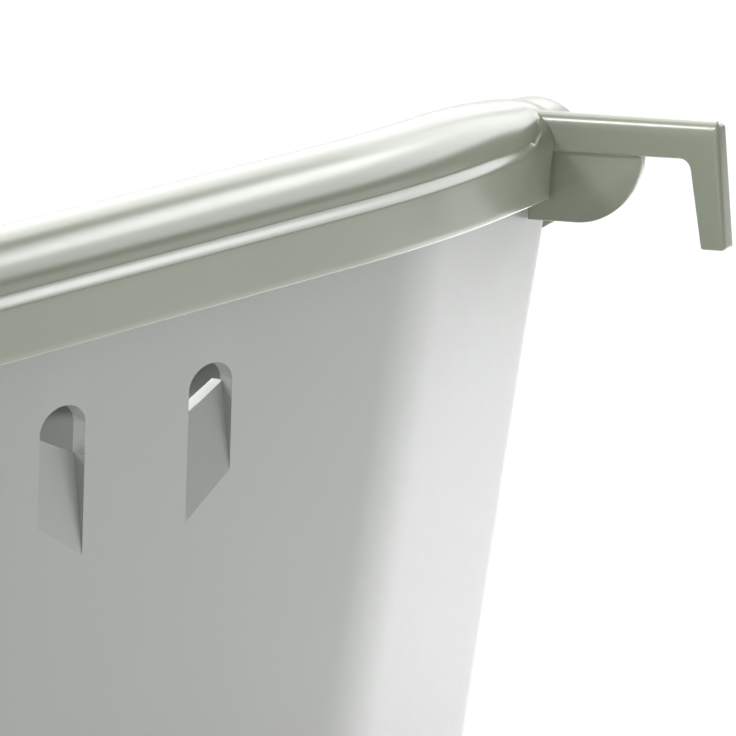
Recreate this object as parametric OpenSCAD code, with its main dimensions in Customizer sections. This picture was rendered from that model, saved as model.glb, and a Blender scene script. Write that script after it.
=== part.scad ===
// Hanging file rack: a tapered tub with a push-on rim collar and two hook brackets.
// X runs along the length, +Y is the back that hangs on a panel, +Z is up.
// The origin is the centre of the flat base.

/* [Tub] */
// Height of the back wall, from the base to the lower edge of the rim
back_height = 216; // [200:1:240]
// How much lower the front is than the back
front_drop = 50; // [30:1:70]
// Half of the tub's length, level with the rim's lower edge
tub_half_length = 193.5; // [191:0.5:195]
// Wall thickness
wall = 2.3; // [1.8:0.1:3]
// Draft of the back wall, in degrees
back_draft = 2; // [1:0.5:3]
// Draft of the two end walls, in degrees
end_draft = 16; // [10:0.5:17]
// Draft of the front wall, in degrees
front_draft = 6; // [2:0.5:8]

/* [Rim] */
// Half of the rim's length
rim_half_length = 204.5; // [202:0.5:206]
// Outside depth of the rim, back to front
rim_depth = 150; // [130:1:170]
// Height of the flat skirt under the dome
skirt_height = 8.9; // [8:0.1:10]
// Radius of the domed top
dome_r = 8.6; // [8:0.1:9]
// Thickness of the rim's shell
rim_wall = 1.8; // [1.5:0.1:2]
// Angle by which the ends of the back turn forward
sweep_angle = 8; // [5:0.5:10]

/* [Hooks] */
// Distance of each hook from the middle
hook_x = 171; // [166:0.5:176]
// Thickness of the arm and leg
hook_t = 4.2; // [3.6:0.1:5]
// Reach of the arm, from the rim's skirt to the leg's outer face
hook_reach = 33.8; // [30:0.1:40]
// Depth of the leg below the top of the arm
leg_drop = 23.6; // [20:0.1:30]
// Thickness of the quarter-round web under the arm
web_t = 2.2; // [1.8:0.1:2.6]
// Radius of the quarter-round web
web_r = 13; // [10:0.1:14]

/* [Vents] */
// Distance of each vent from the middle
vent_x = 26.9; // [20:0.1:40]
// Half width of a vent
vent_half = 8.1; // [6:0.1:10]
// Depth of a vent's arch springing below the rim
vent_drop = 15.1; // [12:0.1:30]

/* [Hidden] */

// Colours
tub_colour = [0.86, 0.87, 0.86];
rim_colour = [0.60, 0.64, 0.58];
hook_colour = [0.56, 0.60, 0.54];

// Levels
front_height = back_height - front_drop;
rim_back_y = rim_depth / 2 - 5;
rim_front_y = rim_back_y - rim_depth;
overhang = 5;
ledge = 1.2;
dome_z = skirt_height + 2.5;
dome_d = ledge + dome_r;
tub_top = dome_z + 2;
floor_t = 2.5;
base_round = 3.5;

// Joint between tub and collar: the tub's wall steps out to a neck inside the collar, with a
// flange round it and lugs of the collar pressed under that
flange_low = 4.6;
flange_high = 6.2;
flange_gap = 2.3;
neck_d = 4.4;
shelf_top = 6.9;
lug_low = 2.4;
lug_high = 4.4;
lug_reach = 2.1;
lug_width = 12;
LUGS = [[0, 0.8], [2, 0.15], [4, 0.35], [4, 0.65], [6, 0.3]];
fit_gap = 0.3;

// Levels of the hook, from the rim's lower edge
arm_top = 16.1;
arm_low = 8.9;
web_low = arm_low - web_r;
seat_step = 0.3;
root_y = -4;
web_in = -4.25;
web_out = 5.2;
head_low = 0.6;
head_high = flange_low - 0.4;
head_width = 16;
head_t = 1.9;
leg_top_w = 5.6;
leg_tip_w = 4.9;
leg_splay = 1.7;
leg_fillet = 2.3;
boss_half = 10;
boss_flat = 2.1;
boss_root = 1.5;
boss_depth = 4.1;
notch_in = -4.6;

// Slot through the tub's flange for the web
slot_in = -8;
slot_out = 0.8;
slot_low = flange_low - 1;
slot_top = arm_low + 0.6;

// Bends, swept stretches and corners of the two plan outlines
bend_x = 74.6;
bend_r = 500;
corner_r = 14;
swept_x = rim_half_length - corner_r * (1 - sin(sweep_angle));
swept = (swept_x - bend_x - bend_r * sin(sweep_angle)) / cos(sweep_angle);
front_corner_r = 34;
tub_bend_r = 180;
tub_swept = 56.6;
tub_corner_r = 16;

// Plan outlines: half length, back y, front y, bend radius, length of the swept stretch,
// back corner radius, front corner radius
RIM = [rim_half_length, rim_back_y, rim_front_y, bend_r, swept, corner_r, front_corner_r];
TUB = [tub_half_length, rim_back_y - overhang, rim_front_y + overhang, tub_bend_r, tub_swept,
       tub_corner_r, front_corner_r - overhang];

// Stations of half an outline: [segment, share of the segment]
function steps(seg, n) = [for (i = [0 : n - 1]) [seg, i / n]];
HALF = concat(steps(0, 3), steps(1, 6), steps(2, 6), steps(3, 9), steps(4, 10), steps(5, 9),
              steps(6, 3), [[6, 1]]);
half_n = len(HALF);
loop_n = 2 * half_n - 2;

// One point of an outline at level z
function plan_point(st, z, s) =
    let (seg = st[0],
         u = st[1],
         hl = s[0] - (back_height - z) * tan(end_draft),
         yb = s[1] - (back_height - z) * tan(back_draft),
         yf = s[2] + (front_height - z) * tan(front_draft),
         f = sweep_angle,
         xs = hl - s[5] * (1 - sin(f)),
         ys = yb - s[3] * (1 - cos(f)) - s[4] * sin(f),
         xb = xs - s[4] * cos(f) - s[3] * sin(f),
         yc = ys - s[5] * cos(f),
         a = seg == 1 ? f * u : seg == 3 ? f + (90 - f) * u : 90 + 90 * u)
    seg == 0 ? [xb * u, yb] :
    seg == 1 ? [xb + s[3] * sin(a), yb - s[3] * (1 - cos(a))] :
    seg == 2 ? [xs - s[4] * cos(f) * (1 - u), ys + s[4] * sin(f) * (1 - u)] :
    seg == 3 ? [xs - s[5] * sin(f) + s[5] * sin(a), yc + s[5] * cos(a)] :
    seg == 4 ? [hl, yc + (yf + s[6] - yc) * u] :
    seg == 5 ? [hl - s[6] + s[6] * sin(a), yf + s[6] + s[6] * cos(a)] :
    [(hl - s[6]) * (1 - u), yf];

// The same outline moved inward by d, with its back corner kept round
function inset(s, d) =
    let (r = max(s[5] - d, 2),
         short = (r - s[5] + d) * tan((90 - sweep_angle) / 2))
    [s[0] - d, s[1] - d, s[2] + d, s[3] - d, s[4] - short, r, s[6] - d];

// Distance along the rim from the hook towards the front
swept_y = RIM[1] - bend_r * (1 - cos(sweep_angle)) - swept * sin(sweep_angle);
tail = (swept_x - hook_x) / cos(sweep_angle);
corner_run = corner_r * (90 - sweep_angle) * PI / 180;
side_run = swept_y - corner_r * cos(sweep_angle) - RIM[2] - RIM[6];
bend_run = bend_r * sweep_angle * PI / 180;
function path(st) =
    st[0] < 2 ? tail - swept - (st[0] == 0 ? bend_run + bend_x : bend_run * (1 - st[1])) :
    st[0] == 2 ? tail - swept * (1 - st[1]) :
    st[0] == 3 ? tail + corner_run * st[1] :
    tail + corner_run + side_run * (st[0] > 4 ? 1 : st[1]);

// Fall of the rim from hook to front: level, a soft bend, a straight slope, a soft bend, level
blend = 0.3;
fall_start = 3;
function fall(u) =
    u < blend ? u * u / (2 * blend) / (1 - blend) :
    u > 1 - blend ? 1 - (1 - u) * (1 - u) / (2 * blend) / (1 - blend) :
    (u - blend / 2) / (1 - blend);
function rim_level(st) =
    let (run = path([5, 0]) - fall_start,
         u = min(max((path(st) - fall_start) / run, 0), 1))
    back_height - front_drop * fall(u);

// The dome is lowest just past the hook: share of its height above the ledge
crease_z = skirt_height + 1.3;
dip_low = 8;
dip_before = 53;
dip_after = 28;
dip_depth = 0.3;
function dome_share(st) =
    let (t = path(st) - dip_low,
         u = min(t < 0 ? -t / dip_before : t / dip_after, 1))
    1 - dip_depth * (1 - u) * (1 - u) * (t < 0 ? 1 : 1 + 2 * u);

// Point i of the closed loop, moved inward by d
function loop_point(i, z, s, d) =
    let (right = i < half_n,
         p = plan_point(HALF[right ? i : loop_n - i], z, inset(s, d)))
    [right ? p[0] : -p[0], p[1], z];
function station(i) = HALF[i < half_n ? i : loop_n - i];

// Closed skin over rings of equal length; when closed is false, a fan closes each end
module skin(rings, closed) {
    m = len(rings);
    n = len(rings[0]);
    last = closed ? m - 1 : m - 2;
    quads = [for (j = [0 : last]) for (i = [0 : n - 1])
        let (k = (i + 1) % n, q = (j + 1) % m)
        each [[j * n + i, q * n + k, q * n + i], [j * n + i, j * n + k, q * n + k]]];
    fans = closed ? [] : [for (i = [0 : n - 1])
        let (k = (i + 1) % n)
        each [[m * n, k, i], [m * n + 1, (m - 1) * n + i, (m - 1) * n + k]]];
    hubs = closed ? [] : [middle(rings[0]), middle(rings[m - 1])];
    polyhedron(concat([for (r = rings) each r], hubs), concat(quads, fans), convexity = 8);
}
function middle(ring) = (ring[0] + ring[half_n - 1]) / 2;

// A ring of the tub at one level, inset by d
function flat_ring(z, d) = [for (i = [0 : loop_n - 1]) loop_point(i, z, TUB, d)];
// A ring that follows the rim, h above its lower edge
function rim_ring(h, s, d) =
    [for (i = [0 : loop_n - 1])
        let (z = rim_level(station(i)), p = loop_point(i, s == RIM ? z : z + h, s, d))
        [p[0], p[1], z + h]];
// The same for the dome, whose height above the ledge changes along the rim
function dome_ring(h, d) =
    [for (i = [0 : loop_n - 1])
        let (z = rim_level(station(i)),
             p = loop_point(i, z, RIM, d),
             up = max(h - crease_z, 0) * (1 - dome_share(station(i))))
        [p[0], p[1], z + h - up]];

module tub_shell() {
    skin([
        flat_ring(0, base_round),
        flat_ring(base_round * 0.3, base_round * 0.3),
        flat_ring(base_round, 0),
        rim_ring(flange_low - fit_gap, TUB, 0),
        rim_ring(flange_low, RIM, neck_d),
        rim_ring(flange_low, RIM, flange_gap),
        rim_ring(flange_high, RIM, flange_gap),
        rim_ring(flange_high, RIM, neck_d),
        rim_ring(tub_top, RIM, neck_d),
        rim_ring(tub_top, RIM, neck_d + wall),
        rim_ring(shelf_top, RIM, neck_d + wall),
        rim_ring(shelf_top - fit_gap, TUB, wall),
        flat_ring(floor_t + 3, wall),
        flat_ring(floor_t, wall + 3)
    ], false);
}

// Vents: an arched opening over a tongue that is pressed inward
// In the vent's frame, x runs along the wall away from the middle and z from the rim's lower edge
vent_rise = 3.9;
tongue_out = -0.3;
tongue_in = -5.4;
tongue_foot_out = -15.7;
tongue_foot_in = -22.5;
press = wall - 0.4;

module vent_frame(side) {
    y = TUB[1] - vent_drop * tan(back_draft);
    translate([side * vent_x, y, back_height - vent_drop])
        mirror([side < 0 ? 1 : 0, 0, 0])
            rotate([-back_draft, 0, 0])
                children();
}

module vent_hole() {
    arch = [for (i = [0 : 16]) [vent_half * cos(i * 11.25), vent_rise * sin(i * 11.25)]];
    rotate([90, 0, 0])
        linear_extrude(6 * wall, center = true)
            polygon(concat(arch, [[-vent_half, tongue_in], [vent_half, tongue_out]]));
}

// Slab along the tongue: its outer face starts pressed in at the tongue's top edge and runs out
// through the wall's surface. deep moves it inward, grow widens it, reach lengthens it at the foot.
module tongue_slab(deep, thick, grow, reach) {
    x = vent_half + grow;
    top_y = -press - deep;
    foot_y = -press * (1 - reach) - deep;
    foot_out = tongue_out + (tongue_foot_out - tongue_out) * reach;
    foot_in = tongue_in + (tongue_foot_in - tongue_in) * reach;
    corners = [[-x, top_y, tongue_in], [x, top_y, tongue_out],
               [x, foot_y, foot_out], [-x, foot_y, foot_in]];
    points = concat(corners, [for (c = corners) c + [0, thick, 0]]);
    polyhedron(points, [[0, 1, 2], [0, 2, 3], [4, 6, 5], [4, 7, 6], [0, 4, 5], [0, 5, 1],
                        [1, 5, 6], [1, 6, 2], [2, 6, 7], [2, 7, 3], [3, 7, 4], [3, 4, 0]]);
}

module tub() {
    color(tub_colour) {
        difference() {
            tub_shell();
            for (side = [-1, 1])
                vent_frame(side) {
                    vent_hole();
                    tongue_slab(0, 4 * wall, 0, 1.1);
                }
            for (side = [-1, 1])
                hook_place(side)
                    translate([-web_t / 2 - fit_gap, slot_in, slot_low])
                        cube([web_t + 2 * fit_gap, slot_out - slot_in, slot_top - slot_low]);
        }
        for (side = [-1, 1])
            vent_frame(side)
                tongue_slab(wall, wall - 0.1, 0.5, 0.94);
    }
}

// Section of the rim: [distance inward from the skirt's face, height above its lower edge]
function dome(r, a0, a1, n) =
    [for (i = [0 : n]) let (a = a0 + (a1 - a0) * i / n) [dome_d - r * cos(a), dome_z + r * sin(a)]];
lip_low = dome_z - 4;
RIM_SECTION = concat(
    [[0, 0], [0, skirt_height], [ledge * 0.3, skirt_height + 0.9], [ledge, crease_z]],
    dome(dome_r, 0, 180, 12),
    [[dome_d + dome_r, lip_low], [dome_d + dome_r - rim_wall, lip_low]],
    dome(dome_r - rim_wall, 180, 0, 8),
    [[rim_wall, skirt_height - 1], [rim_wall, 0]]);

module rim_shell() {
    skin([for (p = RIM_SECTION) dome_ring(p[1], p[0])], true);
}

// Frame on the rim's back at a hook: origin on the skirt's face at its lower edge, axes parallel
// to the rack's
hook_y = swept_y + (swept_x - hook_x) * tan(sweep_angle);

module hook_place(side) {
    translate([side * hook_x, hook_y, back_height])
        mirror([side < 0 ? 1 : 0, 0, 0])
            children();
}

// Boss that sweeps the skirt's upper edge up to the level of the arm
module boss() {
    reach = boss_half - boss_flat;
    rise = arm_top - skirt_height;
    curve = [for (i = [0 : 8]) let (a = 90 * i / 8)
        [boss_flat + reach * (1 - cos(a)), arm_top - rise * sin(a)]];
    outline = concat(curve, [[boss_half, skirt_height - boss_root]],
                     [[-boss_half, skirt_height - boss_root]],
                     [for (i = [8 : -1 : 0]) [-curve[i][0], curve[i][1]]]);
    rotate([0, 0, -sweep_angle])
        translate([0, -0.02, 0])
            rotate([90, 0, 0])
                linear_extrude(boss_depth)
                    polygon(outline);
}

// One lug under the tub's flange, at a station of the rim's right half
module lug(st) {
    ahead = [st[0], st[1] + 0.01];
    z = rim_level(st);
    p = plan_point(st, z, RIM);
    q = plan_point(ahead, rim_level(ahead), RIM);
    run = [q[0] - p[0], q[1] - p[1]];
    half = lug_width / 2;
    drop = (z - rim_level(ahead)) / norm(run) * half;
    translate([p[0], p[1], z])
        rotate([90, 0, atan2(run[1], run[0])])
            translate([0, 0, rim_wall - 0.4])
                linear_extrude(lug_reach + 0.4)
                    polygon([[-half, lug_low + drop], [half, lug_low - drop],
                             [half, lug_high - drop], [-half, lug_high + drop]]);
}

module rim_collar() {
    color(rim_colour)
        difference() {
            union() {
                rim_shell();
                for (side = [-1, 1])
                    hook_place(side)
                        boss();
                for (side = [0, 1])
                    mirror([side, 0, 0])
                        for (st = LUGS)
                            lug(st);
            }
            for (side = [-1, 1])
                hook_place(side)
                    translate([-hook_t / 2 - fit_gap, notch_in, -1])
                        cube([hook_t + 2 * fit_gap, 2 * overhang, arm_top + 1 + fit_gap]);
        }
}

// Hook bracket, in the hook's frame: y runs outward, z from the rim's lower edge
module hook_bracket() {
    inner_top = hook_reach - leg_top_w;
    tip = arm_top - leg_drop;
    head_y = -rim_wall - 0.15;
    // Arm and leg
    rotate([90, 0, 90])
        linear_extrude(hook_t, center = true)
            difference() {
                polygon([
                    [root_y, arm_low + seat_step], [root_y, arm_top],
                    [hook_reach - 1, arm_top], [hook_reach, arm_top - 1],
                    [hook_reach + leg_splay, tip + 0.8], [hook_reach + leg_splay - 0.8, tip],
                    [hook_reach + leg_splay - leg_tip_w + 0.6, tip],
                    [hook_reach + leg_splay - leg_tip_w, tip + 0.6],
                    [inner_top, arm_low - leg_fillet], [inner_top - leg_fillet, arm_low],
                    [web_out + web_r, arm_low], [web_out + web_r, arm_low + seat_step]
                ]);
                translate([inner_top - leg_fillet, arm_low - leg_fillet])
                    circle(r = leg_fillet, $fn = 32);
            }
    // Quarter-round web, which runs in under the skirt as far as the tub
    rotate([90, 0, 90])
        linear_extrude(web_t, center = true)
            union() {
                translate([web_in, web_low])
                    square([web_out - web_in, web_r + 0.5]);
                translate([web_out - 1, arm_low - 0.1])
                    square([web_r + 1, 0.6]);
                intersection() {
                    translate([web_out, arm_low])
                        circle(r = web_r, $fn = 64);
                    translate([web_out - 1, web_low])
                        square([web_r + 1, web_r]);
                }
            }
    // Head, held behind the skirt and under the tub's flange
    rotate([0, 0, -sweep_angle])
        translate([-head_width / 2, head_y - head_t, head_low])
            cube([head_width, head_t, head_high - head_low]);
}
module hook_left() {
    color(hook_colour)
        hook_place(-1)
            hook_bracket();
}

module hook_right() {
    color(hook_colour)
        hook_place(1)
            hook_bracket();
}

tub();
rim_collar();
hook_left();
hook_right();
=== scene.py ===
"""Hanging file rack: the looks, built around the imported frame.

Every piece follows the plan outline of the CAD part at a finer pitch: the tub and the collar are
skins over rings of points, the hook brackets are rounded plates. Sizes are in metres.
"""

import math

import bmesh
import bpy
from mathutils import Matrix, Vector


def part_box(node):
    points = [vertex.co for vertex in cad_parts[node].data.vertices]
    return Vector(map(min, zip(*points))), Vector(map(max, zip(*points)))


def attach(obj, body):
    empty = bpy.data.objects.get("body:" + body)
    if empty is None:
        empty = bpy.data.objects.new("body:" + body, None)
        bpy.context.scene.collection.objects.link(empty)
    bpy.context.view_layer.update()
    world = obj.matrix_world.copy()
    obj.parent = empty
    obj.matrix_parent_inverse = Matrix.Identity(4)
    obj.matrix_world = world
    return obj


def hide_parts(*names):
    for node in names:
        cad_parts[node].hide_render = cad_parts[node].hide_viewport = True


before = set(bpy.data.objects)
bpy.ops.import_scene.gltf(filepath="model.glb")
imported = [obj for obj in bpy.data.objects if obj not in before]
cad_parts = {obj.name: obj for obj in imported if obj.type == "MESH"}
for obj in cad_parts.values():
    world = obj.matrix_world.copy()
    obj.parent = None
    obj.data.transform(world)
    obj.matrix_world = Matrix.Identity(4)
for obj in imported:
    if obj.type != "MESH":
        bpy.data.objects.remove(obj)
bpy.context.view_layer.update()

mm = 0.001

# ---------------------------------------------------------------- driving sizes, from the frame
rim_low, rim_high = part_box("rim_collar")
hook_low, hook_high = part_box("hook_right")

DOME_R = 8.6 * mm                 # radius of the collar's dome
DOME_Z = 11.4 * mm                # height of the dome's axis above the skirt's lower edge
LEDGE = 1.2 * mm                  # step from the skirt's face to the dome
SKIRT = 8.9 * mm                  # height of the flat skirt
RIM_WALL = 1.8 * mm               # thickness of the collar's shell
WALL = 2.3 * mm                   # thickness of the tub's wall
BACK = rim_high.z - DOME_Z - DOME_R    # level of the skirt's lower edge along the back
FRONT = rim_low.z                      # the same along the front
SWEEP = math.radians(8)           # the ends of the back turn forward by this
BACK_DRAFT, END_DRAFT, FRONT_DRAFT = (math.tan(math.radians(a)) for a in (2, 16, 6))
DOME_D = LEDGE + DOME_R           # distance of the dome's axis in from the skirt's face

# Plan outlines: half length, back y, front y, bend radius, swept length, back and front corner
BEND_X, BEND_R, CORNER_R = 74.6 * mm, 500 * mm, 14 * mm
FRONT_R = 34 * mm                 # the collar's front corners
OVERHANG = 5 * mm                 # collar past the tub at the back and the front
END_OVERHANG = 11 * mm            # the same at the ends
HALF = rim_high.x + 2.9 * mm      # at the back's level: the rim has narrowed where its sides start
SWEPT_X = HALF - CORNER_R * (1 - math.sin(SWEEP))
SWEPT = (SWEPT_X - BEND_X - BEND_R * math.sin(SWEEP)) / math.cos(SWEEP)
SWEPT_Y = rim_high.y - BEND_R * (1 - math.cos(SWEEP)) - SWEPT * math.sin(SWEEP)
RIM = dict(half=HALF, back=rim_high.y, front=rim_low.y,
           bend=BEND_R, swept=SWEPT, back_r=CORNER_R, front_r=FRONT_R)
TUB = dict(half=HALF - END_OVERHANG, back=rim_high.y - OVERHANG, front=rim_low.y + OVERHANG,
           bend=180 * mm, swept=56.6 * mm, back_r=16 * mm, front_r=FRONT_R - OVERHANG)

HOOK_X = (hook_low.x + hook_high.x) / 2
HOOK_T = 4.2 * mm                 # thickness of the arm and leg
ARM_TOP = 16.1 * mm               # above the skirt's lower edge
ARM_LOW = 8.9 * mm
HOOK_Y = SWEPT_Y + (SWEPT_X - HOOK_X) * math.tan(SWEEP)


# ---------------------------------------------------------------- plan outline
def plan_point(seg, u, z, s):
    """Point of an outline's right half at level z: segment 0 is the straight back, 1 the bend,
    2 the swept stretch, 3 the back corner, 4 the side, 5 and 6 the front."""
    half = s["half"] - (BACK - z) * END_DRAFT
    back = s["back"] - (BACK - z) * BACK_DRAFT
    front = s["front"] + (FRONT - z) * FRONT_DRAFT
    sin, cos = math.sin(SWEEP), math.cos(SWEEP)
    xs = half - s["back_r"] * (1 - sin)
    ys = back - s["bend"] * (1 - cos) - s["swept"] * sin
    xb = xs - s["swept"] * cos - s["bend"] * sin
    yc = ys - s["back_r"] * cos
    if seg == 0:
        return xb * u, back
    if seg == 1:
        a = SWEEP * u
        return xb + s["bend"] * math.sin(a), back - s["bend"] * (1 - math.cos(a))
    if seg == 2:
        left = s["swept"] * (1 - u)
        return xs - left * cos, ys + left * sin
    if seg == 3:
        a = SWEEP + (math.pi / 2 - SWEEP) * u
        return xs + s["back_r"] * (math.sin(a) - sin), yc + s["back_r"] * math.cos(a)
    if seg == 4:
        return half, yc + (front + s["front_r"] - yc) * u
    a = math.pi / 2 * (1 + u)
    if seg == 5:
        return half + s["front_r"] * (math.sin(a) - 1), front + s["front_r"] * (1 + math.cos(a))
    return (half - s["front_r"]) * (1 - u), front


def inset(s, d):
    """The same outline moved inward by d, with its back corner kept round."""
    r = max(s["back_r"] - d, 2 * mm)
    short = (r - s["back_r"] + d) * math.tan((math.pi / 2 - SWEEP) / 2)
    return dict(half=s["half"] - d, back=s["back"] - d, front=s["front"] + d, bend=s["bend"] - d,
                swept=s["swept"] - short, back_r=r, front_r=s["front_r"] - d)


def path(seg, u):
    """Distance along the rim from the hook towards the front, negative towards the middle."""
    tail = (SWEPT_X - HOOK_X) / math.cos(SWEEP)
    corner = CORNER_R * (math.pi / 2 - SWEEP)
    side = SWEPT_Y - CORNER_R * math.cos(SWEEP) - RIM["front"] - RIM["front_r"]
    if seg == 0:
        return tail - SWEPT - BEND_R * SWEEP - BEND_X * (1 - u)
    if seg == 1:
        return tail - SWEPT - BEND_R * SWEEP * (1 - u)
    if seg == 2:
        return tail - SWEPT * (1 - u)
    if seg == 3:
        return tail + corner * u
    return tail + corner + side * (u if seg == 4 else 1)


def fall(u, blend=0.3):
    """Share of the fall from hook to front, with a soft bend at each end."""
    if u < blend:
        return u * u / (2 * blend) / (1 - blend)
    if u > 1 - blend:
        return 1 - (1 - u) ** 2 / (2 * blend) / (1 - blend)
    return (u - blend / 2) / (1 - blend)


FALL_START = 3 * mm               # path at which the rim starts to fall
DIP_AT, DIP_BEFORE, DIP_AFTER = 8 * mm, 53 * mm, 28 * mm
DIP = 0.3                         # share of its height that the dome loses where it is lowest


def rim_level(st):
    """Level of the skirt's lower edge at a station."""
    u = (path(*st) - FALL_START) / (path(5, 0) - FALL_START)
    return BACK - (BACK - FRONT) * fall(min(max(u, 0), 1))


def dome_share(st):
    """The dome is lowest just past the hook: share of its full height above the ledge."""
    t = path(*st) - DIP_AT
    if t < 0:
        return 1 - DIP * (1 - min(-t / DIP_BEFORE, 1)) ** 2
    u = min(t / DIP_AFTER, 1)
    return 1 - DIP * (1 - u) ** 2 * (1 + 2 * u)


def stations(counts):
    """Stations of the right half, from the middle of the back to the middle of the front."""
    half = [(seg, i / n) for seg, n in enumerate(counts) for i in range(n)]
    return half + [(6, 1.0)]


def loop(half):
    """(station, side) all the way round."""
    return [(st, 1) for st in half] + [(st, -1) for st in half[-2:0:-1]]


def place(st, side, z, s, d):
    """Point of an outline at a station, moved inward by d."""
    x, y = plan_point(*st, z, inset(s, d))
    return Vector((side * x, y, z))


# ---------------------------------------------------------------- mesh helpers
def mesh_object(name, verts, faces):
    mesh = bpy.data.meshes.new(name)
    mesh.from_pydata([tuple(v) for v in verts], [], faces)
    mesh.validate()
    obj = bpy.data.objects.new(name, mesh)
    bpy.context.scene.collection.objects.link(obj)
    return obj


def skin(name, rings, closed):
    """Mesh over closed rings of equal length. The first and last ring are joined, or each is
    filled."""
    m, n = len(rings), len(rings[0])
    faces = [(j * n + i, j * n + (i + 1) % n, (j + 1) % m * n + (i + 1) % n, (j + 1) % m * n + i)
             for j in range(m if closed else m - 1) for i in range(n)]
    if not closed:
        faces.append(tuple(range(n))[::-1])
        faces.append(tuple((m - 1) * n + i for i in range(n)))
    obj = mesh_object(name, [v for r in rings for v in r], faces)
    tidy(obj)
    return obj


def tidy(obj, merge=1e-6):
    """Merges coincident points and turns every face outward."""
    bm = bmesh.new()
    bm.from_mesh(obj.data)
    bmesh.ops.remove_doubles(bm, verts=bm.verts, dist=merge)
    bmesh.ops.dissolve_degenerate(bm, edges=bm.edges, dist=merge)
    bmesh.ops.recalc_face_normals(bm, faces=bm.faces)
    bm.to_mesh(obj.data)
    bm.free()


def smooth(obj, limit, crisp=None):
    """Smooth shading, with edges sharper than the limit kept, and all those that crisp picks."""
    bm = bmesh.new()
    bm.from_mesh(obj.data)
    for f in bm.faces:
        f.smooth = True
    for e in bm.edges:
        middle = (e.verts[0].co + e.verts[1].co) / 2
        allowed = 2 if crisp and crisp(middle) else limit
        e.smooth = math.degrees(e.calc_face_angle(0)) < allowed
    bm.to_mesh(obj.data)
    bm.free()


def apply_modifiers(obj):
    dg = bpy.context.evaluated_depsgraph_get()
    mesh = bpy.data.meshes.new_from_object(obj.evaluated_get(dg))
    obj.modifiers.clear()
    obj.data = mesh


def boolean(obj, other, operation):
    """Cuts or joins with another closed mesh, which is then removed."""
    mod = obj.modifiers.new("cut", "BOOLEAN")
    mod.operation = operation
    mod.solver = "EXACT"
    mod.object = other
    apply_modifiers(obj)
    bpy.data.objects.remove(other)


def block(name, low, high):
    """Box between two corners."""
    x0, y0, z0 = low
    x1, y1, z1 = high
    verts = [(x, y, z) for z in (z0, z1) for x, y in ((x0, y0), (x1, y0), (x1, y1), (x0, y1))]
    obj = mesh_object(name, verts, [(3, 2, 1, 0), (4, 5, 6, 7)]
                      + [(i, (i + 1) % 4, (i + 1) % 4 + 4, i + 4) for i in range(4)])
    tidy(obj)
    return obj


def arc(cx, cz, rx, rz, a0, a1, n):
    """Points of an elliptic arc, angles in degrees, ends included."""
    turns = [math.radians(a0 + (a1 - a0) * i / n) for i in range(n + 1)]
    return [(cx + rx * math.cos(a), cz + rz * math.sin(a)) for a in turns]


# ---------------------------------------------------------------- rim collar
BOSS = 15 * mm                    # length over which the skirt's edge sweeps up to the arm
BOSS_OUT = 1.0 * mm               # how far the shoulder stands proud of the skirt beside the arm
EDGE_LIFT = 1.4 * mm              # how far the skirt's upper edge rises there
CREASE_LIFT = 5.0 * mm            # how far the foot of the dome rises there
CREASE = SKIRT + 1.3 * mm         # foot of the dome away from the hooks
LIP = DOME_Z - 4 * mm             # lower edge of the collar's inner side
EDGE = 0.35 * mm                  # rounding of the collar's free edges


def boss_weight(t):
    """1 beside the arm, falling to 0 where the shoulder has run out; t is from the arm's middle."""
    run = max(abs(t) - HOOK_T / 2, 0)
    return max(1 - run / BOSS, 0) ** 2


def collar_section(w, share):
    """Closed section as (inward, up) from the foot of the skirt's face. w lifts the shoulder, and
    share lowers the dome."""
    peak = CREASE + (DOME_Z + DOME_R - CREASE) * share
    start = SKIRT + EDGE_LIFT * w
    crease = max(CREASE + CREASE_LIFT * w, DOME_Z)
    out = BOSS_OUT * w * w
    points = arc(EDGE, EDGE, EDGE, EDGE, 270, 180, 3)
    for i in range(1, 9):
        z = EDGE + (start - EDGE) * i / 8
        points.append((-out * (z / start) ** 2, z))
    points += ledge_curve(w, start, crease, out)
    dome_start = math.degrees(math.asin((crease - DOME_Z) / DOME_R))
    flat = (peak - crease) / (DOME_Z + DOME_R - crease)
    for x, z in arc(DOME_D, DOME_Z, -DOME_R, DOME_R, dome_start, 90, 17):
        points.append((x, crease + (z - crease) * flat if z > crease else z))
    points += lowered(arc(DOME_D, DOME_Z, DOME_R, DOME_R, 90, 0, 17)[1:], share)
    return points + inner_section(share)


def ledge_curve(w, start, crease, out):
    """From the skirt's upper edge in to the dome: a quarter round at the shoulder, which eases
    into an S away from it."""
    inner = DOME_D - math.sqrt(DOME_R ** 2 - (crease - DOME_Z) ** 2)
    end = math.radians(90 - 30 * w)
    round_share = min(3 * w, 1)
    steps = 12
    points = []
    for i in range(1, steps + 1):
        a = end * i / steps
        quarter = (1 - math.cos(a)) / (1 - math.cos(end)), math.sin(a) / math.sin(end)
        ogee = (1 - math.cos(math.pi * i / steps)) / 2, i / steps
        across, up = (round_share * q + (1 - round_share) * g for q, g in zip(quarter, ogee))
        points.append((-out + (inner + out) * across, start + (crease - start) * up))
    return points


def lowered(points, share):
    """Section points with their height above the foot of the dome scaled."""
    return [(x, CREASE + (z - CREASE) * share) for x, z in points]


def inner_section(share):
    """The hidden side of the collar, from the dome's inner foot round to the skirt's lower edge."""
    right = DOME_D + DOME_R
    inside = DOME_R - RIM_WALL
    points = [(right, DOME_Z - 2 * mm)]
    points += arc(right - EDGE, LIP + EDGE, EDGE, EDGE, 0, -90, 3)
    points += arc(right - RIM_WALL + EDGE, LIP + EDGE, EDGE, EDGE, 270, 180, 3)
    points += lowered(arc(DOME_D, DOME_Z, inside, inside, 0, 180, 20), share)
    points += [(LEDGE + RIM_WALL, DOME_Z - 1 * mm), (RIM_WALL, SKIRT - 1 * mm)]
    points += [(RIM_WALL, SKIRT / 2)]
    return points + arc(RIM_WALL - EDGE, EDGE, EDGE, EDGE, 0, -90, 3)


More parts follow.
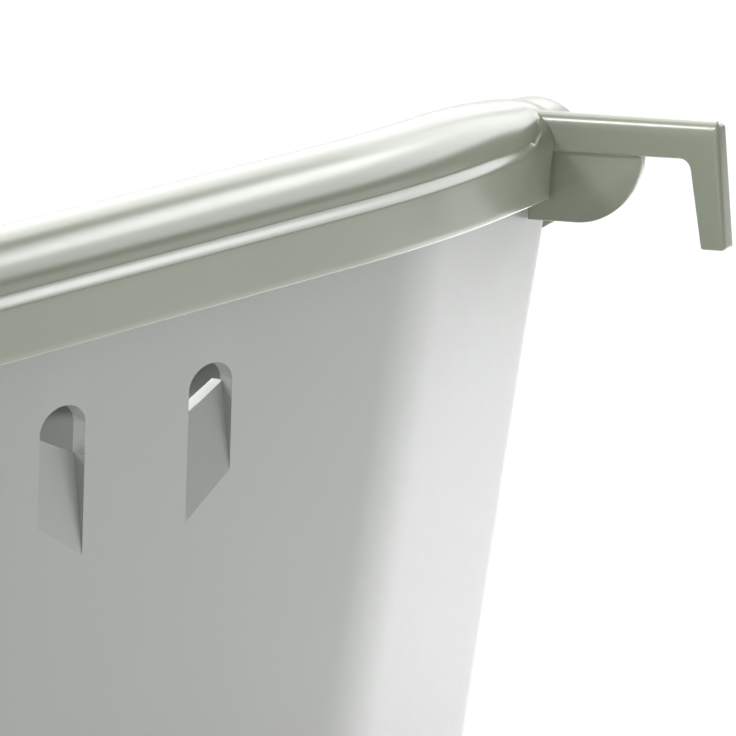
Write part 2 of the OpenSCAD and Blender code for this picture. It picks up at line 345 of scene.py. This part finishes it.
def hook_frame(side):
    """Frame on the skirt's face at a hook, mirrored for the left one."""
    return Matrix.Translation((side * HOOK_X, HOOK_Y, BACK)) @ Matrix.Diagonal((side, 1, 1, 1))


def rim_collar():
    """Skin over the collar's section, with a slot for each hook's arm."""
    half = stations([30, 26, 110, 34, 64, 36, 24])
    columns = []
    for st, side in loop(half):
        z = rim_level(st)
        section = collar_section(boss_weight(path(*st)), dome_share(st))
        columns.append([place(st, side, z, RIM, d) + Vector((0, 0, h)) for d, h in section])
    rings = [list(r) for r in zip(*columns)]
    obj = skin("rim_collar_shell", rings, True)
    half_slot = HOOK_T / 2 + 0.12 * mm
    slot_in, slot_out = HOOK_Y - 4.6 * mm, HOOK_Y + 4.4 * mm
    slot_low, slot_top = BACK - 1 * mm, BACK + ARM_TOP - 1.2 * mm
    for side in (-1, 1):
        x = side * HOOK_X
        cut = block("slot", (x - half_slot, slot_in, slot_low), (x + half_slot, slot_out, slot_top))
        boolean(obj, cut, "DIFFERENCE")
    tidy(obj, 2e-6)
    smooth(obj, 34)
    return obj


# ---------------------------------------------------------------- hook brackets
def rounded_outline(corners, radii, insets, n):
    """Outline with round corners, and the same outline moved in along each edge by its inset.
    Edge i runs from corner i to corner i + 1. Both lists of points have equal length."""
    count = len(corners)

    def offset_corner(i, shift):
        a, b, c = (Vector(corners[(i + k) % count]) for k in (-1, 0, 1))
        d0, d1 = (b - a).normalized(), (c - b).normalized()
        n0, n1 = Vector((d0.y, -d0.x)), Vector((d1.y, -d1.x))
        p0 = b + n0 * shift[(i - 1) % count]
        p1 = b + n1 * shift[i]
        cross = d0.x * d1.y - d0.y * d1.x
        t = ((p1 - p0).x * d1.y - (p1 - p0).y * d1.x) / cross
        return p0 + d0 * t, d0, d1, cross

    def points(shift, grow):
        found = []
        for i in range(count):
            p, d0, d1, cross = offset_corner(i, shift)
            turn = math.acos(max(-1, min(1, d0.dot(d1))))
            moved = (shift[(i - 1) % count] + shift[i]) / 2
            r = max(radii[i] + (moved if cross > 0 else -moved) * grow, 0.02 * mm)
            reach = r * math.tan(turn / 2)
            start, stop = p - d0 * reach, p + d1 * reach
            bisector = (d1 - d0).normalized()
            centre = p + bisector * (r / math.cos(turn / 2))
            a0 = math.atan2(*(start - centre).yx)
            sweep = turn if cross > 0 else -turn
            for k in range(n + 1):
                a = a0 + sweep * k / n
                found.append(centre + Vector((math.cos(a), math.sin(a))) * r)
        return found

    return points([0] * count, 0), points(insets, 1)


def plate(name, corners, radii, insets, depths, half, n=6, rounds=7):
    """Plate with rounded rims: corners run clockwise in (y, z). insets is how far the rounding
    runs in from each edge, and depths how far it runs across the thickness there."""
    outer, inner = rounded_outline(corners, radii, insets, n)
    across = []
    for i, depth in enumerate(depths):
        for k in range(n + 1):
            share = k / n
            across.append(depths[i - 1] * (1 - share) + depth * share)

    def ring(side, a):
        points = []
        for p, q, b in zip(outer, inner, across):
            y, z = q + (p - q) * math.sin(a)
            points.append(Vector((side * (half - b * (1 - math.cos(a))), y, z)))
        return points

    turns = [math.pi / 2 * k / rounds for k in range(rounds + 1)]
    rings = [ring(1, a) for a in turns] + [ring(-1, a) for a in turns[::-1]]
    return skin(name, rings, False)


def arm_and_leg(name):
    """The arm, with a full round along its top, and the splayed leg."""
    reach, leg_w, tip_w, splay = 33.8 * mm, 5.6 * mm, 4.9 * mm, 1.7 * mm
    root, tip = -4.2 * mm, ARM_TOP - 23.6 * mm
    corners = [(root, ARM_LOW), (root, ARM_TOP), (reach, ARM_TOP), (reach + splay, tip),
               (reach + splay - tip_w, tip), (reach - leg_w, ARM_LOW)]
    radii = [0.3 * mm, 0.3 * mm, 1.3 * mm, 0.8 * mm, 0.6 * mm, 2.3 * mm]
    # One value per edge: root, top, outer face, tip, inner face, underside
    insets = [0.3 * mm, 3.1 * mm, 0.85 * mm, 0.5 * mm, 0.45 * mm, 0.7 * mm]
    depths = [0.3 * mm, HOOK_T / 2, 0.85 * mm, 0.5 * mm, 0.45 * mm, 0.7 * mm]
    return plate(name, corners, radii, insets, depths, HOOK_T / 2)


def hook_web():
    """Quarter-round web under the arm, which runs in under the skirt as far as the tub."""
    thickness, radius, centre_y, root = 2.2 * mm, 13 * mm, 5.2 * mm, -4.6 * mm
    low, top = ARM_LOW - radius, ARM_LOW + 1.5 * mm
    rounding = 0.25 * mm
    steps = 24
    turns = [-math.pi / 2 * i / steps for i in range(steps + 1)]
    curve = [(centre_y + radius * math.cos(a), ARM_LOW + radius * math.sin(a)) for a in turns]
    corners = [(root, low), (root, top), (centre_y + radius, top)] + curve
    count = len(corners)
    return plate("web", corners, [0.05 * mm] * count, [rounding] * count, [rounding] * count,
                 thickness / 2, 1, 3)


def hook_head():
    """Flat head, held behind the skirt."""
    half, thickness, gap = 8 * mm, 1.9 * mm, 0.15 * mm
    low, top = 0.6 * mm, 4.2 * mm
    outer = -RIM_WALL - gap
    head = block("head", (-half, outer - thickness, low), (half, outer, top))
    head.data.transform(Matrix.Rotation(-SWEEP, 4, "Z"))
    return head


def hook_bracket(name, side):
    """Arm, leg, web and head joined as one moulding, and put in place."""
    bracket = arm_and_leg(name)
    boolean(bracket, hook_web(), "UNION")
    boolean(bracket, hook_head(), "UNION")
    bracket.data.transform(hook_frame(side))
    tidy(bracket)
    smooth(bracket, 30)
    return bracket


# ---------------------------------------------------------------- tub
VENT_X, VENT_HALF = 26.9 * mm, 8.1 * mm     # middle and half width of a vent
VENT_DROP = 15.1 * mm             # springing of the vent's arch below the rim
VENT_RISE = 3.9 * mm              # height of the arch
TONGUE_OUT, TONGUE_IN = -0.3 * mm, -5.4 * mm    # level of the tongue's top at its two ends
FOOT_OUT, FOOT_IN = -15.7 * mm, -22.5 * mm      # level of its foot there
PRESS = WALL - 0.4 * mm           # depth to which its top edge is pressed in


def vent_frame(side):
    """Frame of a vent: x away from the middle, z up along the wall."""
    y = TUB["back"] - VENT_DROP * BACK_DRAFT
    return (Matrix.Translation((side * VENT_X, y, BACK - VENT_DROP))
            @ Matrix.Diagonal((side, 1, 1, 1)) @ Matrix.Rotation(-math.atan(BACK_DRAFT), 4, "X"))


def prism(name, outline, y0, y1):
    """Solid between two y values over an outline in (x, z)."""
    n = len(outline)
    verts = [(x, y0, z) for x, z in outline] + [(x, y1, z) for x, z in outline]
    faces = [tuple(range(n)), tuple(range(n, 2 * n))[::-1]]
    faces += [(i, i + n, (i + 1) % n + n, (i + 1) % n) for i in range(n)]
    obj = mesh_object(name, verts, faces)
    tidy(obj)
    return obj


def tongue_slab(name, deep, thick, grow, reach):
    """Slab along a tongue: pressed in at its top edge, and out through the wall at its foot."""
    x = VENT_HALF + grow
    top_y, foot_y = -PRESS - deep, -PRESS * (1 - reach) - deep
    foot_out = TONGUE_OUT + (FOOT_OUT - TONGUE_OUT) * reach
    foot_in = TONGUE_IN + (FOOT_IN - TONGUE_IN) * reach
    near = [(-x, top_y, TONGUE_IN), (x, top_y, TONGUE_OUT),
            (x, foot_y, foot_out), (-x, foot_y, foot_in)]
    verts = near + [(a, b + thick, c) for a, b, c in near]
    faces = [(0, 1, 2, 3), (4, 7, 6, 5)]
    faces += [(i, i + 4, (i + 1) % 4 + 4, (i + 1) % 4) for i in range(4)]
    obj = mesh_object(name, verts, faces)
    tidy(obj)
    return obj


def cut_vents(obj):
    """Cuts each arched opening and the recess under it, and sets the tongue in the recess."""
    arch = arc(0, 0, VENT_HALF, VENT_RISE, 0, 180, 32)
    outline = arch + [(-VENT_HALF, TONGUE_IN), (VENT_HALF, TONGUE_OUT)]
    for side in (-1, 1):
        at = vent_frame(side)
        hole = prism("hole", outline, -3 * WALL, 3 * WALL)
        recess = tongue_slab("recess", 0, 4 * WALL, 0, 1.1)
        tongue = tongue_slab("tongue", WALL, WALL - 0.1 * mm, 0.5 * mm, 0.94)
        for piece, operation in ((hole, "DIFFERENCE"), (recess, "DIFFERENCE"), (tongue, "UNION")):
            piece.data.transform(at)
            tidy(piece)
            boolean(obj, piece, operation)


def near_vent(p):
    """Whether a point lies on a vent or its tongue, where every edge is kept."""
    beside = abs(abs(p.x) - VENT_X) < 10 * mm and p.y > 0
    return beside and BACK - 40 * mm < p.z < BACK - 8 * mm


def tub():
    """Skin from the base up the outer wall, over the neck and flange inside the collar, and down
    the inner wall to the floor."""
    around = loop(stations([24, 32, 16, 26, 48, 30, 16]))
    base_r, floor_t, floor_r = 3.5 * mm, 2.5 * mm, 3 * mm
    flange_low, flange_high, flange_gap = 4.6 * mm, 6.2 * mm, 2.3 * mm
    neck, shelf, step = 4.4 * mm, 6.9 * mm, 0.3 * mm
    top, lip = DOME_Z + 2 * mm, 0.4 * mm
    straight = FRONT - 12 * mm      # up to here the wall's rings are level
    rows = 10

    def flat(z, d):
        return [place(st, side, z, TUB, d) for st, side in around]

    def along(h, s, d):
        found = []
        for st, side in around:
            z = rim_level(st)
            p = place(st, side, z if s is RIM else z + h, s, d)
            found.append(Vector((p.x, p.y, z + h)))
        return found

    turn = [math.radians(90 * i / 6) for i in range(7)]
    rings = [flat(base_r * (1 - math.cos(a)), base_r * (1 - math.sin(a))) for a in turn]
    rings += [flat(base_r + (straight - base_r) * i / rows, 0) for i in range(1, rows + 1)]
    rings += [along(flange_low - step - 1 * mm, TUB, 0), along(flange_low - step, TUB, 0)]
    rings += [along(flange_low, RIM, neck), along(flange_low, RIM, flange_gap)]
    rings += [along(flange_high, RIM, flange_gap), along(flange_high, RIM, neck)]
    rings += [along(top - lip, RIM, neck), along(top, RIM, neck + lip)]
    rings += [along(top, RIM, neck + WALL - lip), along(top - lip, RIM, neck + WALL)]
    rings += [along(shelf, RIM, neck + WALL), along(shelf - step, TUB, WALL)]
    rings += [along(-2 * mm, TUB, WALL)]
    foot = floor_t + floor_r
    rings += [flat(foot + (straight - foot) * i / rows, WALL) for i in range(rows, 0, -1)]
    for a in turn:
        rings.append(flat(floor_t + floor_r * (1 - math.sin(a)), WALL + floor_r * (1 - math.cos(a))))
    obj = skin("tub_shell", rings, False)
    cut_vents(obj)
    tidy(obj, 2e-6)
    smooth(obj, 34, near_vent)
    return obj


# ---------------------------------------------------------------- materials
def plastic(name, colour, shade, rough, bump, grain):
    """Moulded plastic: colour drifts between two near tones, and edges are paler with wear."""
    mat = bpy.data.materials.new(name)
    mat.use_nodes = True
    nodes, links = mat.node_tree.nodes, mat.node_tree.links
    shader = nodes["Principled BSDF"]
    coords = nodes.new("ShaderNodeTexCoord")

    def noise(scale, detail):
        node = nodes.new("ShaderNodeTexNoise")
        node.inputs["Scale"].default_value = scale
        node.inputs["Detail"].default_value = detail
        links.new(coords.outputs["Object"], node.inputs["Vector"])
        return node.outputs["Fac"]

    def spread(value, low, high, out_low=0.0, out_high=1.0):
        node = nodes.new("ShaderNodeMapRange")
        ends = {"From Min": low, "From Max": high, "To Min": out_low, "To Max": out_high}
        for key, number in ends.items():
            node.inputs[key].default_value = number
        links.new(value, node.inputs["Value"])
        return node.outputs["Result"]

    def mix(factor, a, b):
        node = nodes.new("ShaderNodeMix")
        node.data_type = "RGBA"
        links.new(factor, node.inputs["Factor"])
        for key, value in (("A", a), ("B", b)):
            socket = next(s for s in node.inputs if s.name == key and s.type == "RGBA")
            if isinstance(value, tuple):
                socket.default_value = (*value, 1)
            else:
                links.new(value, socket)
        return next(s for s in node.outputs if s.type == "RGBA")

    drift = mix(spread(noise(9, 3), 0.35, 0.65), colour, shade)
    geometry = nodes.new("ShaderNodeNewGeometry")
    worn = spread(geometry.outputs["Pointiness"], 0.52, 0.62, 0, 0.35)
    pale = tuple(min(c * 1.25 + 0.03, 1) for c in colour)
    links.new(mix(worn, drift, pale), shader.inputs["Base Color"])
    gloss = spread(noise(500, 2), 0.3, 0.7, rough - 0.015, rough + 0.015)
    links.new(gloss, shader.inputs["Roughness"])
    height = nodes.new("ShaderNodeBump")
    height.inputs["Strength"].default_value = bump
    height.inputs["Distance"].default_value = 0.02 * mm
    links.new(noise(grain, 2), height.inputs["Height"])
    links.new(height.outputs["Normal"], shader.inputs["Normal"])
    shader.inputs["Specular IOR Level"].default_value = 0.5
    return mat


# ---------------------------------------------------------------- the pieces
tub_plastic = plastic("tub_plastic", (0.37, 0.385, 0.36), (0.355, 0.37, 0.345), 0.34, 0.2, 1400)
rim_plastic = plastic("rim_plastic", (0.33, 0.36, 0.285), (0.315, 0.345, 0.27), 0.22, 0.15, 900)

for piece, node, slot, mat in (
        (tub(), "tub", "tub_plastic", tub_plastic),
        (rim_collar(), "rim_collar", "rim_plastic", rim_plastic),
        (hook_bracket("hook_left_bracket", -1), "hook_left", "rim_plastic", rim_plastic),
        (hook_bracket("hook_right_bracket", 1), "hook_right", "rim_plastic", rim_plastic)):
    piece.data.materials.clear()
    piece.data.materials.append(mat)
    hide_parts(node)
    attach(piece, "root")


# ---------------------------------------------------------------- floor, light and camera
def studio_floor():
    obj = block("studio_floor", (-30, -30, -0.02), (30, 30, 0))
    mat = bpy.data.materials.new("studio_floor")
    mat.use_nodes = True
    shader = mat.node_tree.nodes["Principled BSDF"]
    shader.inputs["Base Color"].default_value = (0.8, 0.8, 0.8, 1)
    shader.inputs["Roughness"].default_value = 0.8
    shader.inputs["Specular IOR Level"].default_value = 0.1
    shader.inputs["Emission Color"].default_value = (1, 1, 1, 1)
    shader.inputs["Emission Strength"].default_value = 0.2
    obj.data.materials.append(mat)


def area_light(name, at, target, size, power, colour=(1, 1, 1)):
    """Rectangular light that the camera doesn't see."""
    data = bpy.data.lights.new(name, "AREA")
    data.shape = "RECTANGLE"
    data.size, data.size_y = size
    data.energy = power
    data.color = colour
    obj = bpy.data.objects.new(name, data)
    obj.location = at
    obj.rotation_mode = "QUATERNION"
    obj.rotation_quaternion = (Vector(target) - Vector(at)).to_track_quat("-Z", "Y")
    obj.visible_camera = False
    bpy.context.scene.collection.objects.link(obj)


def soft_sun(direction, strength, angle):
    data = bpy.data.lights.new("softbox", "SUN")
    data.energy = strength
    data.angle = math.radians(angle)
    obj = bpy.data.objects.new("softbox", data)
    obj.rotation_mode = "QUATERNION"
    obj.rotation_quaternion = Vector(direction).to_track_quat("Z", "Y")
    bpy.context.scene.collection.objects.link(obj)


def surroundings(dim, bright):
    """A bright backdrop on the front's side of the studio, and a dim room on the back's."""
    world = bpy.data.worlds.new("studio")
    world.use_nodes = True
    nodes, links = world.node_tree.nodes, world.node_tree.links
    back = nodes["Background"]
    back.inputs["Color"].default_value = (1, 1, 1, 1)
    coords = nodes.new("ShaderNodeTexCoord")
    split = nodes.new("ShaderNodeSeparateXYZ")
    links.new(coords.outputs["Generated"], split.inputs["Vector"])
    ramp = nodes.new("ShaderNodeMapRange")
    ramp.interpolation_type = "SMOOTHSTEP"
    ends = {"From Min": -0.35, "From Max": 0.05, "To Min": bright, "To Max": dim}
    for key, number in ends.items():
        ramp.inputs[key].default_value = number
    links.new(split.outputs["Y"], ramp.inputs["Value"])
    links.new(ramp.outputs["Result"], back.inputs["Strength"])
    bpy.context.scene.world = world


def camera(azimuth, elevation, distance, lens, target, beside, below):
    """Camera at a viewing angle about a target, aimed a little beside and below it."""
    a, e = math.radians(azimuth), math.radians(elevation)
    out = Vector((math.sin(a) * math.cos(e), -math.cos(a) * math.cos(e), math.sin(e)))
    right = Vector((math.cos(a), math.sin(a), 0))
    up = out.cross(right)
    data = bpy.data.cameras.new("camera")
    data.lens = lens
    data.sensor_width = 36
    obj = bpy.data.objects.new("camera", data)
    aim = Vector(target) + right * beside - up * below
    obj.location = Vector(target) + out * distance
    obj.rotation_mode = "QUATERNION"
    obj.rotation_quaternion = (obj.location - aim).to_track_quat("Z", "Y")
    data.clip_start, data.clip_end = 0.1, 100
    bpy.context.scene.collection.objects.link(obj)
    bpy.context.scene.camera = obj


studio_floor()
surroundings(0.12, 0.8)
soft_sun((-0.35, -0.5, 1), 2.3, 50)
area_light("end_panel", (-0.6, -0.035, 0.063), (0, -0.035, 0.063), (0.63, 0.125), 0.55,
           (0.97, 0.97, 1))
area_light("end_softbox", (-0.79, 0.24, 0.475), (0, 0.06, 0.23), (0.58, 0.3), 1.8)
area_light("end_strip", (-0.77, 0.27, 0.6), (0, 0.06, 0.23), (0.3, 0.14), 0.6)
area_light("side_fill", (1.6, -0.3, 0.25), (0, 0, 0.2), (0.8, 0.3), 5.3)
area_light("end_glow", (-0.6, -0.25, 0.55), (0, 0.06, 0.23), (0.5, 0.5), 1.5)
area_light("arm_light", (0.9, -0.73, 1.3), (-0.17, 0.08, 0.23), (0.3, 0.3), 10)
camera(117.36, 8.2, 1.661, 484.7, (0, rim_high.y, BACK), 33.7 * mm, 8.1 * mm)
bpy.context.scene.view_settings.view_transform = "Standard"
